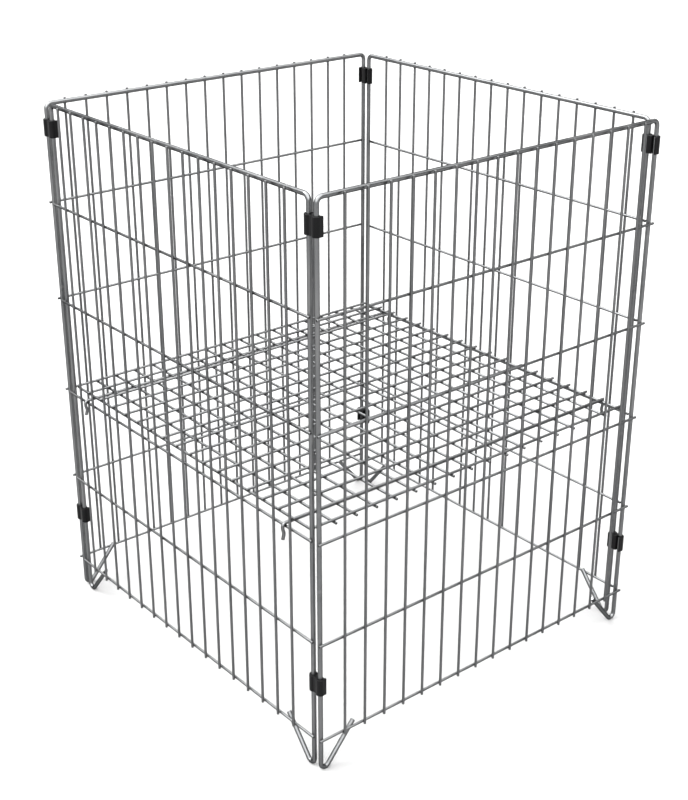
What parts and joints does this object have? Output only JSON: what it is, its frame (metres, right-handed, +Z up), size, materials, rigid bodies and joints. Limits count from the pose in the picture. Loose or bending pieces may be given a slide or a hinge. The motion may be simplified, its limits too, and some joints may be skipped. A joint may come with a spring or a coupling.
{
  "type": "wire mesh container",
  "caption": "Square open-topped wire mesh bin of four welded wire panels joined at the corners by plastic clips, with a wire shelf hooked in at mid height.",
  "frame": {"origin": "middle of the footprint, on the floor plane that the eight foot bends rest on", "axes": "+Z up; the front panel, one of the two that carry the shelf's hooks, faces -Y; the right panel faces +X"},
  "size_m": [0.6424, 0.6172, 0.8],
  "materials": {
    "frame_rod": "bright zinc plated",
    "mesh_wire": "bright zinc plated",
    "shelf_wire": "bright zinc plated",
    "corner_clip": "satin moulded"
  },
  "bodies": {
    "front_panel": {"front_frame_rod": "frame_rod", "front_upright_wires": "mesh_wire", "front_cross_wires": "mesh_wire", "clip_front_left_upper": "corner_clip", "clip_front_left_lower": "corner_clip", "clip_front_right_upper": "corner_clip", "clip_front_right_lower": "corner_clip"},
    "right_panel": {"right_frame_rod": "frame_rod", "right_upright_wires": "mesh_wire", "right_cross_wires": "mesh_wire"},
    "rear_panel": {"rear_frame_rod": "frame_rod", "rear_upright_wires": "mesh_wire", "rear_cross_wires": "mesh_wire", "clip_rear_right_upper": "corner_clip", "clip_rear_right_lower": "corner_clip", "clip_rear_left_upper": "corner_clip", "clip_rear_left_lower": "corner_clip"},
    "left_panel": {"left_frame_rod": "frame_rod", "left_upright_wires": "mesh_wire", "left_cross_wires": "mesh_wire"},
    "shelf": {"shelf_bearer_left": "shelf_wire", "shelf_bearer_right": "shelf_wire", "shelf_cross_wires": "shelf_wire", "shelf_long_wires": "shelf_wire"}
  },
  "joints": [
    {"name": "front_right_hinge", "type": "hinge", "parent": "front_panel", "child": "right_panel", "pos_m": [0.311, -0.297, 0.4], "axis": [0, 0, 1], "range_deg": [-0.75, 0.75]},
    {"name": "rear_right_hinge", "type": "hinge", "parent": "right_panel", "child": "rear_panel", "pos_m": [0.311, 0.297, 0.4], "axis": [0, 0, 1], "range_deg": [-0.75, 0.75]},
    {"name": "front_left_hinge", "type": "hinge", "parent": "front_panel", "child": "left_panel", "pos_m": [-0.311, -0.297, 0.4], "axis": [0, 0, 1], "range_deg": [-0.75, 0.75]},
    {"name": "shelf_lift", "type": "slide", "parent": "front_panel", "child": "shelf", "axis": [0, 0, 1], "range_m": [0, 0.14]}
  ],
  "couplings": [
    {"joint": "rear_right_hinge", "follows": "front_right_hinge", "ratio": -1},
    {"joint": "front_left_hinge", "follows": "front_right_hinge", "ratio": 1}
  ]
}
